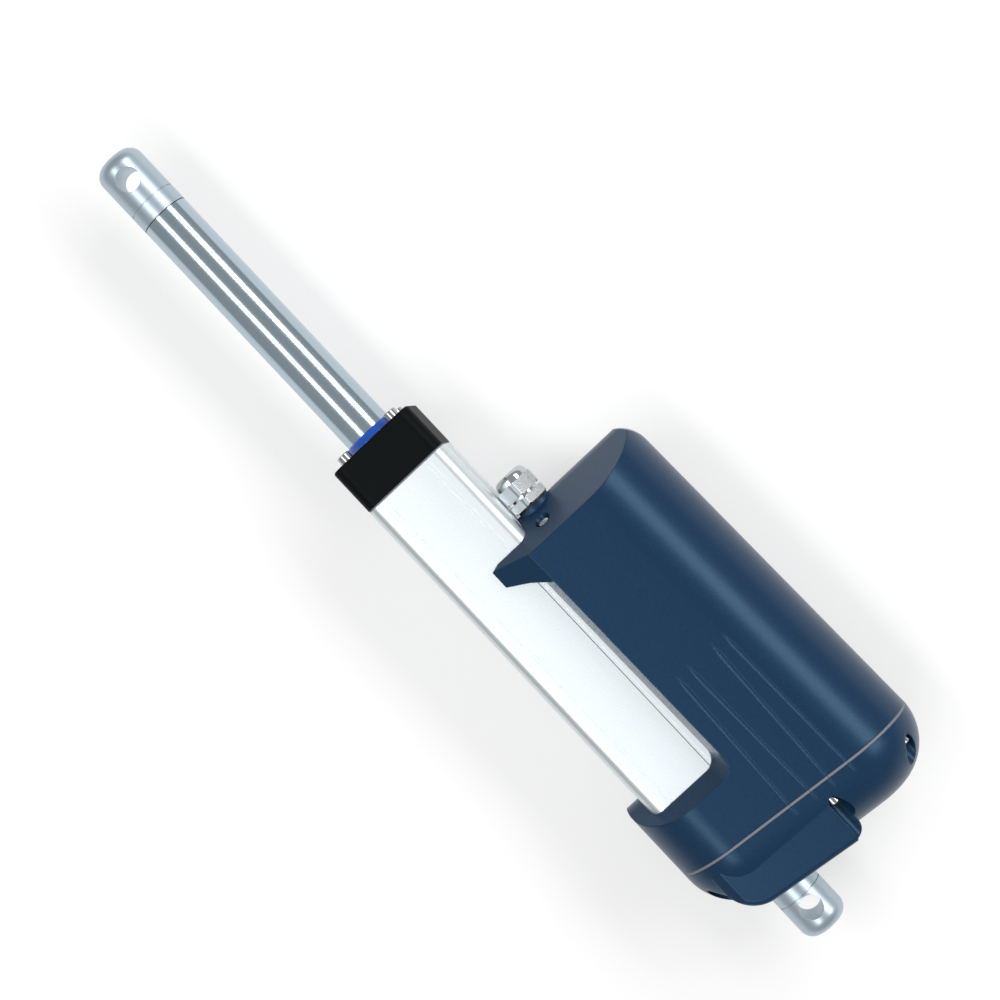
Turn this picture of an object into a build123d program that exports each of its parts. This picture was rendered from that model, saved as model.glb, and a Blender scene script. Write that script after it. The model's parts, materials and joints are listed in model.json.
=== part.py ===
from build123d import *
import os
from math import acos, atan, cos, degrees, pi, radians, sin, sqrt, tan

# Parallel-motor electric linear actuator, lying on its side, shown fully extended.
# Millimetres. The origin is the centre of the rear eye's pin bore, +X runs along the
# rod towards the rod eye, +Z is the pin axis, and the motor lies on the -Y side.

# Stroke and mounting
STROKE = 150.0
DEAD_LENGTH = 175.0
PIN_HOLE_D = 12.2
EYE_HOLE_X = DEAD_LENGTH + 2 * STROKE

# Rod and its eye
ROD_D = 25.0
ROD_BORE = 19.6
EYE_TIP = 14.5
EYE_TIP_R = 6.8
EYE_NECK = 22.5
EYE_SPIGOT = 18.0
EYE_LINE = 13.5
REAR_EYE_LINE = 7.2
EYE_LINE_W = 0.6
EYE_LINE_DEPTH = 0.4
PIN_HOLE_EDGE = 0.5
PRESS_GAP = 0.02

# Outer tube: square extrusion with a round bore and two keyways
TUBE_W = 48.0
TUBE_CORNER_R = 6.0
TUBE_BORE = 36.0
TUBE_GROOVE_Y = 13.0
TUBE_GROOVE_W = 1.6
TUBE_GROOVE_DEPTH = 0.5
KEYWAY_W = 5.4
KEYWAY_R = 20.0
TUBE_REAR_X = 72.0

# Front cap, its seal and its screws
CAP_LENGTH = 24.6
CAP_GASKET = 0.8
CAP_GASKET_INSET = 0.3
CAP_TO_HOLE = 20.0
CAP_SPIGOT = 12.0
CAP_EDGE = 0.8
BUSH_WALL = 2.5
BUSH_LENGTH = 30.0
ROD_RUNNING = 0.06
WIPER_D = 30.0
WIPER_LIP_D = 26.6
WIPER_OUT = 4.5
WIPER_SEAT = 6.0
WIPER_RIM = 0.8
WIPER_STEP = 0.5
WIPER_LIP_EDGE = 0.6
SMALL_SCREW_D = 4.0
SMALL_HEAD_D = 7.0
SMALL_HEAD_H = 4.0
SMALL_HEX = 3.0
SMALL_HEAD_EDGE = 0.4
CAP_SCREW_Y = 15.0
CAP_SCREW_GRIP = 20.0
CAP_SCREW_ROOM = 1.0
SCREW_GAP = 0.05

# Housing outline
HALF_THICK = 38.0
BARREL_REAR_Y = -60.8
BARREL_FRONT_Y = -57.0
NOSE_TOP_X = 214.2
NOSE_SLOPE = 0.48
NOSE_APEX_R = 22.0
NOSE_PLAN_R = 18.0
LOBE_TOP_X = 76.3
LOBE_SIDE_Y = 33.6
LOBE_INNER_Y = -50.0
LOBE_R = 29.0
CHANNEL_TOP_Y = -20.0
CHANNEL_FOOT_Y = -15.9
CHANNEL_TAPER = 0.7
CHANNEL_MID_X = 140.0
CHANNEL_CORNER_R = 8.0
TUBE_GAP = 0.1

# Wing of the housing that grips the tube
WING_TIP_Y = 0.1
WING_TIP_Z = 26.4
WING_FRONT_X = 224.6
WING_TIP_FRONT_X = 219.4
WING_TIP_REAR_X = 210.0
WING_MID = (204.2, -10.2)
WING_REAR_X = 196.5
WING_ROOT = 6.0

# End cap: a cover of one depth on a seam that leans by a few degrees
SEAM_X = 49.4
SEAM_LEAN = 5.16
GASKET = 1.2
COVER_DEPTH = 30.0
COVER_R = 28.0
BOSS_TOP_Z = 35.2
BOSS_TOP_SLOPE = 0.03
BOSS_FRONT_X = 45.0
BOSS_REAR_LEFT = (20.1, 23.0)
BOSS_REAR_RIGHT = (12.0, -46.0)
BOSS_LEFT_R = 18.0
BOSS_RIGHT_R = 6.0
BOSS_EDGE_R = 3.0
COVER_SCREWS = [(-85.5, 20.0), (-44.0, 32.5), (25.0, 20.0)]
COVER_SCREW_GRIP = 8.5
COVER_SCREW_THREAD = 11.0
COVER_POCKET_D = 9.4

# Shallow tapering grooves in the housing's faces: y at the front and at the rear
FACE_GROOVES = [(-59.8, -61.2), (-52.4, -49.3), (-37.6, -39.3), (-30.2, -27.3)]
FACE_GROOVE_X = (127.0, 36.0)
FACE_GROOVE_POINT = 7.0
FACE_GROOVE_W = (0.1, 2.0, 1.1)
FACE_GROOVE_SLOPE = 0.6

# Gear train: pinion, compound idler, spindle gear
PINION_TEETH = 14
IDLER_LARGE_TEETH = 40
IDLER_SMALL_TEETH = 15
SPINDLE_TEETH = 36
FINE_MODULE = 1.0
COARSE_MODULE = 1.25
PRESSURE = radians(20.0)
ADDENDUM = 0.9
DEDENDUM = 1.25
BACKLASH = 0.16
COARSE_X = (39.0, 48.0)
FINE_X = (50.0, 57.0)
IDLER_Y = -COARSE_MODULE * (SPINDLE_TEETH + IDLER_SMALL_TEETH) / 2
MOTOR_Y = IDLER_Y - FINE_MODULE * (PINION_TEETH + IDLER_LARGE_TEETH) / 2
GEAR_ROOM = 1.8
CAVITY_X = (37.0, 58.0)
END_PLAY = 0.5
PINION_ROOM = 14.0
AXLE_D = 8.0
AXLE_SINK = 8.0
IDLER_BUSH_D = 11.0

# Spindle and its bearings
SPINDLE_D = 16.0
NUT_THREAD_GAP = 0.3
REAR_BEARING = (12.0, 32.0, 10.0)
FRONT_BEARING = (15.0, 35.0, 11.0)
BALL_D = 5.5
BALL_COUNT = 8
BALL_GAP = 0.05
RACE_SHOULDER = 0.62
SEAT_GAP = 0.02
SHOULDER_D = 18.0
GEAR_SEAT_D = 14.0
GEAR_HOLES = 6
GEAR_HOLE_R = 3.4
GEAR_HOLE_PITCH_R = 14.0
KEY_W = 4.0
KEY_H = 3.0
RETAINER = 2.0
BEARING_LEDGE = 3.0
SPACER_WALL = 3.0
SPACER_OUT = 1.0
LOCKNUT_D = 24.0
LOCKNUT_L = 7.0
LOCKNUT_NOTCH = (4.0, 2.0)
NUT_CAP_GAP = 2.4
NUT_L = 32.0
NUT_SOCKET = 16.0
NUT_BORE_GAP = 0.3
NUT_KEY_W = 4.8
NUT_KEY_GAP = 0.4
NUT_RING_W = 8.0
NUT_RING_T = 1.8
NUT_RING_OFFSET = 4.0
NUT_RING_SPLIT = 1.2
SPINDLE_STOP_L = 8.0
SPINDLE_STOP_GAP = 0.3
SPINDLE_STOP_STEP = 1.5
SPINDLE_OUT = 2.0

# Rear eye
EYE_FLANGE_D = 29.0
EYE_FLANGE_T = 3.8
EYE_FLANGE_GAP = 0.5
DOWEL_D = 1.8
DOWEL_Y = -13.5
DOWEL_IN_CAP = 5.0
DOWEL_IN_EYE = 3.0

# Motor
MOTOR_D = 60.0
MOTOR_WALL = 2.5
MOTOR_GAP = 0.25
MOTOR_X = (60.0, 186.0)
BELL_T = 6.0
BELL_SPIGOT = 3.0
BRUSH_BELL_T = 12.0
BRUSH_BELL_WALL = 4.0
REAR_BUSH_L = 9.0
MAGNET_T = 5.0
MAGNET_SPAN = 130.0
MAGNET_OVER = 3.0
AIR_GAP = 1.5
ARMATURE_D = MOTOR_D - 2 * (MOTOR_WALL + MAGNET_T + AIR_GAP)
ARMATURE_X = (82.0, 142.0)
ARMATURE_SLOTS = 12
SLOT_W = 3.0
SLOT_DEPTH = 6.0
COIL_T = 7.0
COIL_STEP = 2.0
COIL_BORE_GAP = 1.0
COIL_R = 2.5
COMMUTATOR_D = 22.0
COMMUTATOR_X = (153.0, 170.0)
COMMUTATOR_RISER = (2.5, 1.5)
COMMUTATOR_SLIT = (0.6, 1.0)
SHAFT_D = 8.0
SHAFT_BUSH_D = 14.0
SHAFT_RUNNING = 0.04
BRUSH = (6.0, 8.0, 9.0)
BRUSH_GAP = 0.1
HOLDER_L = 14.0
HOLDER_WALL = 2.0
HOLDER_FLOOR = 3.0
GUIDE_WALL = 1.5
CIRCLIP_T = 1.6
CIRCLIP_W = 4.0
MOTOR_SHOULDER = 3.0
WIRE_POCKET = (26.0, 88.0)
WIRE_POCKET_X = 216.0
WIRE_POCKET_HALF = 15.0
BOARD_X = 196.0
BOARD_T = 1.6
BOARD_LEDGE = 2.0
BOARD_GAP = 0.2
MAGNET_DISC = (10.0, 3.0)
MAGNET_TO_BOARD = 1.5

# Cable gland and blanking screw on the nose
GLAND_TUBE_GAP = 1.0
GLAND_X = 229.8
GLAND_PAD_D = 23.0
GLAND_THREAD_D = 16.0
GLAND_THREAD_L = 12.0
GLAND_HEX = 19.0
GLAND_Y = -(TUBE_W + GLAND_HEX) / 2 - GLAND_TUBE_GAP
GLAND_HEX_T = 4.6
GLAND_ORING = 1.2
GLAND_NECK = 1.2
GLAND_NUT_T = 7.4
GLAND_TAIL_SHORT = 1.0
GLAND_HEX_EDGE = 0.7
GLAND_TAIL_STEP = 0.5
GLAND_INSERT_L = 6.0
GLAND_LIP = 0.9
GLAND_DOME = 4.8
GLAND_DOME_STEP = 0.6
GLAND_DOME_R = 3.6
GLAND_HOLE_D = 7.2
GLAND_INSERT_D = 11.0
PLUG_Y = -33.7
PLUG_Z = 22.0
PLUG_RECESS_D = 8.6
PLUG_HEAD_D = 7.0
PLUG_HEAD_T = 2.4
PLUG_HEAD_R = 0.8
PLUG_THREAD_L = 7.0
PLUG_FLOOR_X = 216.4

# Places that follow from the sizes above
CAP_FRONT_X = DEAD_LENGTH + STROKE - CAP_TO_HOLE
CAP_REAR_X = CAP_FRONT_X - CAP_LENGTH
TUBE_FRONT_X = CAP_REAR_X - CAP_GASKET
NUT_FRONT_X = CAP_REAR_X - CAP_SPIGOT - NUT_CAP_GAP
NUT_REAR_X = NUT_FRONT_X - NUT_L
ROD_REAR_X = NUT_FRONT_X - NUT_SOCKET
ROD_FRONT_X = EYE_HOLE_X - EYE_NECK
LEAN = tan(radians(SEAM_LEAN))
EYE_FLANGE_X = CAVITY_X[0] - REAR_BEARING[2] - EYE_FLANGE_T
FRONT_SEAT_X = TUBE_REAR_X - RETAINER - FRONT_BEARING[2]
SPINDLE_END_X = NUT_FRONT_X + SPINDLE_OUT
BRUSH_X = MOTOR_X[1] - BRUSH_BELL_T - HOLDER_L + BRUSH[0] / 2 + GUIDE_WALL + HOLDER_FLOOR
GLAND_SEAT_X = GLAND_X + GLAND_ORING
GLAND_NUT_X = GLAND_SEAT_X + GLAND_HEX_T + GLAND_NECK
GLAND_TAIL_X = GLAND_NUT_X + GLAND_NUT_T - GLAND_TAIL_SHORT

# How far a cutter passes what it cuts, and the reach of a boundless one
OVER = 1.0
FAR = 500.0


# Basic solids

def x_cylinder(x0, x1, radius, y=0.0, z=0.0):
    bar = Cylinder(radius, x1 - x0, align=(Align.CENTER, Align.CENTER, Align.MIN))
    return Pos(x0, y, z) * Rot(0, 90, 0) * bar


def x_ring(x0, x1, outer, inner, y=0.0):
    return x_cylinder(x0, x1, outer, y) - x_cylinder(x0 - OVER, x1 + OVER, inner, y)


def x_prism(section, x0, x1):
    """A YZ section, drawn with Y across and Z up, carried from x0 to x1."""
    return Pos(x0, 0, 0) * extrude(Plane.YZ * section, x1 - x0)


def z_prism(outline, z0, z1):
    return Pos(0, 0, z0) * extrude(outline, z1 - z0)


def x_hex(x0, x1, across, y=0.0):
    """A hexagonal bar along X with two flats facing -Y and +Y."""
    hexagon = RegularPolygon(across / 2, 6, major_radius=False, rotation=30)
    return x_prism(Pos(y, 0) * hexagon, x0, x1)


def block(x0, x1, y0, y1, z0, z1):
    low = (Align.MIN, Align.MIN, Align.MIN)
    return Pos(x0, y0, z0) * Box(x1 - x0, y1 - y0, z1 - z0, align=low)


def behind_seam(offset):
    """Everything on the rear side of the seam plane moved along X by offset."""
    half = Box(3 * FAR, 2 * FAR, 2 * FAR, align=(Align.MAX, Align.CENTER, Align.CENTER))
    return Pos(SEAM_X + offset, 0, 0) * Rot(0, 0, -SEAM_LEAN) * half


def seam_x(y):
    return SEAM_X + LEAN * y


# Screws with a socket in the head, along +X from the head's seat

def cap_screw(x, y, z, length):
    head = x_cylinder(x - SMALL_HEAD_H, x, SMALL_HEAD_D / 2, y, z)
    head = chamfer(head.edges().group_by(Axis.X)[0], SMALL_HEAD_EDGE)
    socket = RegularPolygon(SMALL_HEX / 2, 6, major_radius=False)
    recess = x_prism(Pos(y, z) * socket, x - SMALL_HEAD_H - OVER, x - SMALL_HEAD_H / 2)
    return head + x_cylinder(x, x + length, SMALL_SCREW_D / 2, y, z) - recess


# Gears

def involute(angle):
    return tan(angle) - angle


def tooth_half_angle(r, module, teeth):
    pitch_r = module * teeth / 2
    base_r = pitch_r * cos(PRESSURE)
    at = acos(min(1.0, base_r / r))
    half = pi / (2 * teeth) + involute(PRESSURE) - involute(at)
    return half - BACKLASH / 4 / pitch_r


def spur_gear(module, teeth, x0, x1, y, first):
    """A spur gear about X with a tooth centred at the angle first, in degrees from +Y."""
    pitch_r = module * teeth / 2
    base_r = pitch_r * cos(PRESSURE)
    tip_r = pitch_r + ADDENDUM * module
    root_r = pitch_r - DEDENDUM * module
    flank = [base_r + (tip_r - base_r) * k / 3 for k in range(4)]
    if root_r > base_r:
        flank = [root_r + (tip_r - root_r) * k / 3 for k in range(4)]
    half = [(r, tooth_half_angle(r, module, teeth)) for r in flank]
    if root_r < base_r:
        half.insert(0, (root_r, half[0][1]))
    outline = []
    for tooth in range(teeth):
        middle = radians(first) + 2 * pi * tooth / teeth
        for r, a in half:
            outline.append((r * cos(middle - a), r * sin(middle - a)))
        for r, a in reversed(half):
            outline.append((r * cos(middle + a), r * sin(middle + a)))
    wheel = make_face(Polyline(*outline, close=True))
    return x_prism(Pos(y, 0) * wheel, x0, x1)


def gear_tip(module, teeth):
    return module * (teeth / 2 + ADDENDUM)


# Bearings

def bearing(x0, size):
    """Outer ring, balls and inner ring of a deep-groove bearing that starts at x0."""
    bore, outside, width = size
    mid = x0 + width / 2
    pitch_r = (bore + outside) / 4
    ball_r = BALL_D / 2
    race = Pos(mid, 0, 0) * Rot(0, 90, 0) * Torus(pitch_r, ball_r + BALL_GAP)
    shoulder = ball_r * RACE_SHOULDER
    outer = x_ring(x0, x0 + width, outside / 2 - SEAT_GAP, pitch_r + shoulder) - race
    inner = x_ring(x0, x0 + width, pitch_r - shoulder, bore / 2 + SEAT_GAP) - race
    balls = []
    for k in range(BALL_COUNT):
        turn = 2 * pi * k / BALL_COUNT
        place = Pos(mid, pitch_r * cos(turn), pitch_r * sin(turn))
        balls.append(place * Sphere(ball_r))
    return outer, balls, inner


# Housing outline

def nose(x_top):
    """Everything behind a wedge-shaped nose: furthest forward at z = 0, rounded there."""
    apex = x_top + NOSE_SLOPE * HALF_THICK
    wide = 2 * HALF_THICK
    back = x_top - NOSE_SLOPE * HALF_THICK
    shape = Polygon((-FAR, -wide), (back, -wide), (apex, 0), (back, wide), (-FAR, wide), align=None)
    shape = fillet(shape.vertices().sort_by(Axis.X)[-1], NOSE_APEX_R)
    return Pos(0, FAR, 0) * extrude(Plane.XZ * shape, 2 * FAR)


def housing_form():
    """Outer form of housing and end cap together, before the seam divides them."""
    length = NOSE_TOP_X - seam_x(BARREL_REAR_Y)
    lean = degrees(atan((BARREL_FRONT_Y - BARREL_REAR_Y) / length))
    barrel = Pos(seam_x(BARREL_REAR_Y), BARREL_REAR_Y, 0) * Rot(0, 0, lean)
    bed = barrel * block(-FAR, FAR, 0, FAR, -HALF_THICK, HALF_THICK)
    form = barrel * x_cylinder(-FAR, FAR, HALF_THICK) + (bed & block(-FAR, FAR, -FAR, 0, -FAR, FAR))
    front = NOSE_TOP_X + NOSE_SLOPE * HALF_THICK - seam_x(BARREL_REAR_Y)
    plan = Polygon((-FAR, -HALF_THICK), (front, -HALF_THICK), (front, FAR), (-FAR, FAR), align=None)
    plan = fillet(plan.vertices().sort_by_distance((front, -HALF_THICK))[0], NOSE_PLAN_R)
    return form & nose(NOSE_TOP_X) & (barrel * z_prism(plan, -FAR, FAR))


def channel():
    """The space above the tube that the housing leaves open, on the +Z side."""
    rise = HALF_THICK - TUBE_W / 2
    slope = (CHANNEL_TOP_Y - CHANNEL_FOOT_Y) / rise
    section = Polygon(
        (CHANNEL_FOOT_Y - slope * rise, TUBE_W / 2 - rise),
        (FAR, TUBE_W / 2 - rise),
        (FAR, HALF_THICK + rise),
        (CHANNEL_TOP_Y + slope * rise, HALF_THICK + rise),
        align=None,
    )
    along = Pos(CHANNEL_MID_X, 0, 0) * Rot(0, 0, CHANNEL_TAPER) * x_prism(section, -FAR, FAR)
    space = along - nose(LOBE_TOP_X)
    corner = (LOBE_TOP_X, CHANNEL_TOP_Y, HALF_THICK)
    return fillet(space.edges().sort_by_distance(corner)[0], CHANNEL_CORNER_R)


def lobe():
    """The housing's end round the tube's rear, behind its own wedge-shaped front."""
    middle = (LOBE_SIDE_Y + LOBE_INNER_Y) / 2
    section = Pos(middle, 0) * Rectangle(LOBE_SIDE_Y - LOBE_INNER_Y, 2 * HALF_THICK)
    section = fillet(section.vertices().group_by(Axis.X)[-1], LOBE_R)
    return x_prism(section, -FAR, FAR) & nose(LOBE_TOP_X)


def wing():
    """A thin tongue from the housing's face down onto the tube, on the +Z side."""
    root_y = CHANNEL_TOP_Y - WING_ROOT
    outline = Polygon(
        (WING_FRONT_X + WING_ROOT, root_y),
        (WING_FRONT_X, CHANNEL_FOOT_Y),
        (WING_TIP_FRONT_X, WING_TIP_Y),
        (WING_TIP_REAR_X, WING_TIP_Y),
        WING_MID,
        (WING_REAR_X, CHANNEL_TOP_Y),
        (WING_REAR_X, root_y),
        align=None,
    )
    slab = z_prism(outline, TUBE_W / 2 - OVER, HALF_THICK)
    slope = (HALF_THICK - WING_TIP_Z) / (CHANNEL_TOP_Y - WING_TIP_Y)
    under = Polygon(
        (WING_TIP_Y + FAR, 0),
        (WING_TIP_Y, WING_TIP_Z),
        (WING_TIP_Y - FAR, WING_TIP_Z - slope * FAR),
        (WING_TIP_Y - FAR, 0),
        align=None,
    )
    under_x = x_prism(under, 0, FAR)
    return slab & under_x & nose(NOSE_TOP_X)


def groove_section(x, y, width):
    """A V at x that is width across where it meets the face."""
    half = width / 2 + OVER / FACE_GROOVE_SLOPE
    tip = HALF_THICK - FACE_GROOVE_SLOPE * width / 2
    top = HALF_THICK + OVER
    return Pos(x, 0, 0) * (Plane.YZ * Polygon((y, tip), (y + half, top), (y - half, top), align=None))


def face_grooves():
    """Long V-shaped cuts in the +Z face, pointed at the front and narrower to the rear."""
    x0, x1 = FACE_GROOVE_X
    tip_w, front_w, rear_w = FACE_GROOVE_W
    cuts = []
    for y0, y1 in FACE_GROOVES:
        widest = groove_section(x0 - FACE_GROOVE_POINT, y0, front_w)
        cuts.append(loft([groove_section(x0, y0, tip_w), widest], ruled=True))
        cuts.append(loft([widest, groove_section(x1, y1, rear_w)], ruled=True))
    return cuts


def tube_section(gap):
    return RectangleRounded(TUBE_W + 2 * gap, TUBE_W + 2 * gap, TUBE_CORNER_R + gap)


def gear_cavity(x0, x1):
    """The room for the gear train, from x0 to x1."""
    spindle_r = gear_tip(COARSE_MODULE, SPINDLE_TEETH) + GEAR_ROOM
    idler_r = gear_tip(FINE_MODULE, IDLER_LARGE_TEETH) + GEAR_ROOM
    room = x_cylinder(x0, x1, spindle_r) + x_cylinder(x0, x1, idler_r, IDLER_Y)
    return room + x_cylinder(x0, x1, PINION_ROOM, MOTOR_Y)


def cover_screw_places():
    return [(y, side * z) for y, z in COVER_SCREWS for side in (1, -1)]


def mirrored(solid):
    """A solid and its twin on the other side of the middle plane."""
    return solid + mirror(solid, Plane.XY)


# Fixed pieces

def shell_form():
    form = housing_form()
    form -= mirrored(channel())
    form += lobe()
    form += mirrored(wing())
    return form + x_cylinder(NOSE_TOP_X, GLAND_X, GLAND_PAD_D / 2, GLAND_Y)


def without_grooves(solid):
    for cut in face_grooves():
        solid -= mirrored(cut)
    return solid


def motor_housing(form):
    body = without_grooves(form - behind_seam(GASKET / 2))
    body -= x_prism(tube_section(TUBE_GAP), TUBE_REAR_X - RETAINER, FAR)
    body -= x_cylinder(FRONT_SEAT_X, TUBE_REAR_X, FRONT_BEARING[1] / 2)
    body -= x_cylinder(CAVITY_X[1] - OVER, FRONT_SEAT_X + OVER, FRONT_BEARING[1] / 2 - BEARING_LEDGE)
    body -= gear_cavity(0, CAVITY_X[1])
    body -= x_cylinder(0, MOTOR_X[1], MOTOR_D / 2 + MOTOR_GAP, MOTOR_Y)
    body -= x_cylinder(0, MOTOR_X[1] + BELL_T, MOTOR_D / 2 - MOTOR_SHOULDER, MOTOR_Y)
    body -= wire_pocket(MOTOR_X[1] - OVER, BOARD_X, 0.0)
    body -= wire_pocket(BOARD_X - OVER, WIRE_POCKET_X, BOARD_LEDGE)
    body -= x_cylinder(0, CAVITY_X[1] + AXLE_SINK, AXLE_D / 2 + SEAT_GAP, IDLER_Y)
    body -= x_cylinder(WIRE_POCKET_X - OVER, FAR, GLAND_THREAD_D / 2 + SCREW_GAP, GLAND_Y)
    body -= x_cylinder(GLAND_X, FAR, GLAND_PAD_D / 2, GLAND_Y)
    body -= x_cylinder(PLUG_FLOOR_X, FAR, PLUG_RECESS_D / 2, PLUG_Y, PLUG_Z)
    thread_r = SMALL_SCREW_D / 2 + SCREW_GAP
    body -= x_cylinder(PLUG_FLOOR_X - PLUG_THREAD_L - OVER, FAR, thread_r, PLUG_Y, PLUG_Z)
    for y, z in cover_screw_places():
        body -= x_cylinder(0, seam_x(y) + COVER_SCREW_THREAD + OVER, thread_r, y, z)
    return body


def wire_pocket(x0, x1, inset):
    """The room for the board and the leads, all its walls moved in by inset."""
    low, high = WIRE_POCKET
    half = WIRE_POCKET_HALF - inset
    return block(x0, x1, -high + inset, -low - inset, -half, half)


def control_board():
    x0 = BOARD_X - BOARD_T
    return wire_pocket(x0, BOARD_X, BOARD_GAP)


def boss_form():
    """The raised block at the rear that carries the spindle bearing and the rear eye."""
    left_x, left_y = BOSS_REAR_LEFT
    right_x, right_y = BOSS_REAR_RIGHT
    outline = Polygon(
        (BOSS_FRONT_X, left_y), BOSS_REAR_LEFT, BOSS_REAR_RIGHT, (BOSS_FRONT_X, right_y), align=None
    )
    outline = fillet(outline.vertices().sort_by_distance(BOSS_REAR_LEFT)[0], BOSS_LEFT_R)
    outline = fillet(outline.vertices().sort_by_distance(BOSS_REAR_RIGHT)[0], BOSS_RIGHT_R)
    left_z = BOSS_TOP_Z - BOSS_TOP_SLOPE * FAR
    right_z = BOSS_TOP_Z + BOSS_TOP_SLOPE * FAR
    section = Polygon((FAR, -left_z), (FAR, left_z), (-FAR, right_z), (-FAR, -right_z), align=None)
    solid = z_prism(outline, -2 * HALF_THICK, 2 * HALF_THICK) & x_prism(section, -FAR, FAR)
    rims = [e for e in solid.edges() if abs(e.center().Z) > BOSS_TOP_Z / 2]
    return fillet([e for e in rims if e.center().X < BOSS_FRONT_X - OVER], BOSS_EDGE_R)


def cover_solid(form):
    cover = form & behind_seam(-GASKET / 2)
    cover -= behind_seam(-COVER_DEPTH)
    rear = cover.faces().sort_by(Axis.X)[0]
    return fillet(rear.edges(), COVER_R)


def end_cap(form):
    cap = cover_solid(form) + (boss_form() & form & behind_seam(-GASKET / 2 - SMALL_HEAD_H))
    cap = without_grooves(cap)
    flange_x = EYE_FLANGE_X - EYE_FLANGE_GAP
    cap -= gear_cavity(CAVITY_X[0], FAR)
    cap -= x_cylinder(flange_x, FAR, EYE_FLANGE_D / 2 + SEAT_GAP)
    cap -= x_cylinder(CAVITY_X[0] - REAR_BEARING[2], FAR, REAR_BEARING[1] / 2)
    cap -= x_cylinder(-FAR, FAR, ROD_D / 2 + SEAT_GAP)
    cap -= x_cylinder(CAVITY_X[0] - AXLE_SINK, FAR, AXLE_D / 2 + SEAT_GAP, IDLER_Y)
    cap -= x_cylinder(flange_x - DOWEL_IN_CAP, flange_x + OVER, DOWEL_D / 2 + SEAT_GAP, DOWEL_Y)
    for y, z in cover_screw_places():
        cap -= x_cylinder(-FAR, seam_x(y) - COVER_SCREW_GRIP, COVER_POCKET_D / 2, y, z)
        cap -= x_cylinder(0, FAR, SMALL_SCREW_D / 2 + SCREW_GAP, y, z)
    return cap


def end_cap_gasket(form):
    sheet = without_grooves((form & behind_seam(GASKET / 2)) - behind_seam(-GASKET / 2))
    sheet -= gear_cavity(0, FAR)
    sheet -= x_cylinder(0, FAR, MOTOR_D / 2 - MOTOR_SHOULDER, MOTOR_Y)
    for y, z in cover_screw_places():
        sheet -= x_cylinder(0, FAR, SMALL_SCREW_D / 2 + 2 * SCREW_GAP, y, z)
    return sheet


def end_cap_screws():
    screws = []
    for y, z in cover_screw_places():
        x = seam_x(y) - COVER_SCREW_GRIP
        screws.append(cap_screw(x, y, z, COVER_SCREW_GRIP + COVER_SCREW_THREAD))
    return screws


def tube_solid(x0, x1, gap=0.0):
    return x_prism(tube_section(gap), x0, x1)


def corner_places(distance):
    return [(y, z) for y in (distance, -distance) for z in (distance, -distance)]


def outer_tube():
    tube = tube_solid(TUBE_REAR_X, TUBE_FRONT_X)
    tube -= x_cylinder(0, FAR, TUBE_BORE / 2)
    tube -= block(0, FAR, -KEYWAY_R, KEYWAY_R, -KEYWAY_W / 2, KEYWAY_W / 2)
    half = TUBE_W / 2
    for y in (TUBE_GROOVE_Y, -TUBE_GROOVE_Y):
        y0, y1 = y - TUBE_GROOVE_W / 2, y + TUBE_GROOVE_W / 2
        groove = block(0, FAR, y0, y1, half - TUBE_GROOVE_DEPTH, half + OVER)
        for turn in range(4):
            tube -= Rot(90 * turn, 0, 0) * groove
    for y, z in corner_places(CAP_SCREW_Y):
        tube -= x_cylinder(TUBE_FRONT_X - CAP_SCREW_GRIP, FAR, SMALL_SCREW_D / 2 + SCREW_GAP, y, z)
    return tube


def front_gasket():
    sheet = tube_solid(TUBE_FRONT_X, CAP_REAR_X, -CAP_GASKET_INSET)
    sheet -= x_cylinder(0, FAR, TUBE_BORE / 2)
    for y, z in corner_places(CAP_SCREW_Y):
        sheet -= x_cylinder(0, FAR, SMALL_SCREW_D / 2 + 2 * SCREW_GAP, y, z)
    return sheet


def bush_outer():
    return ROD_D / 2 + ROD_RUNNING + BUSH_WALL


def front_cap():
    cap = tube_solid(CAP_REAR_X, CAP_FRONT_X)
    cap = chamfer(cap.faces().sort_by(Axis.X)[-1].edges(), CAP_EDGE)
    cap += x_cylinder(CAP_REAR_X - CAP_SPIGOT, CAP_REAR_X + OVER, TUBE_BORE / 2 - SEAT_GAP)
    cap -= x_cylinder(0, CAP_FRONT_X - WIPER_SEAT, bush_outer() + SEAT_GAP)
    cap -= x_cylinder(CAP_FRONT_X - WIPER_SEAT, FAR, WIPER_D / 2 + SEAT_GAP)
    for y, z in corner_places(CAP_SCREW_Y):
        cap -= x_cylinder(0, FAR, SMALL_SCREW_D / 2 + SCREW_GAP, y, z)
    return cap


def front_cap_screws():
    screws = []
    for y, z in corner_places(CAP_SCREW_Y):
        screw = cap_screw(0, y, z, CAP_FRONT_X - TUBE_FRONT_X + CAP_SCREW_GRIP - CAP_SCREW_ROOM)
        screws.append(Pos(CAP_FRONT_X, 0, 0) * mirror(screw, Plane.YZ))
    return screws


def rod_guide_bush():
    x1 = CAP_FRONT_X - WIPER_SEAT
    x0 = max(x1 - BUSH_LENGTH, CAP_REAR_X - CAP_SPIGOT)
    return x_ring(x0, x1, bush_outer(), ROD_D / 2 + ROD_RUNNING)


def rod_wiper():
    """A ring let into the cap, with a conical lip that runs on the rod."""
    lip = CAP_FRONT_X + WIPER_OUT
    rim = CAP_FRONT_X + WIPER_RIM
    inner = ROD_D / 2 + ROD_RUNNING
    profile = Polygon(
        (CAP_FRONT_X - WIPER_SEAT, inner),
        (CAP_FRONT_X - WIPER_SEAT, WIPER_D / 2),
        (rim, WIPER_D / 2),
        (rim + WIPER_RIM, WIPER_D / 2 - WIPER_STEP),
        (lip - WIPER_STEP, WIPER_LIP_D / 2),
        (lip, inner + WIPER_LIP_EDGE / 2),
        (lip - WIPER_LIP_EDGE, inner),
        align=None,
    )
    return revolve(profile, Axis.X, 360)


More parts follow.
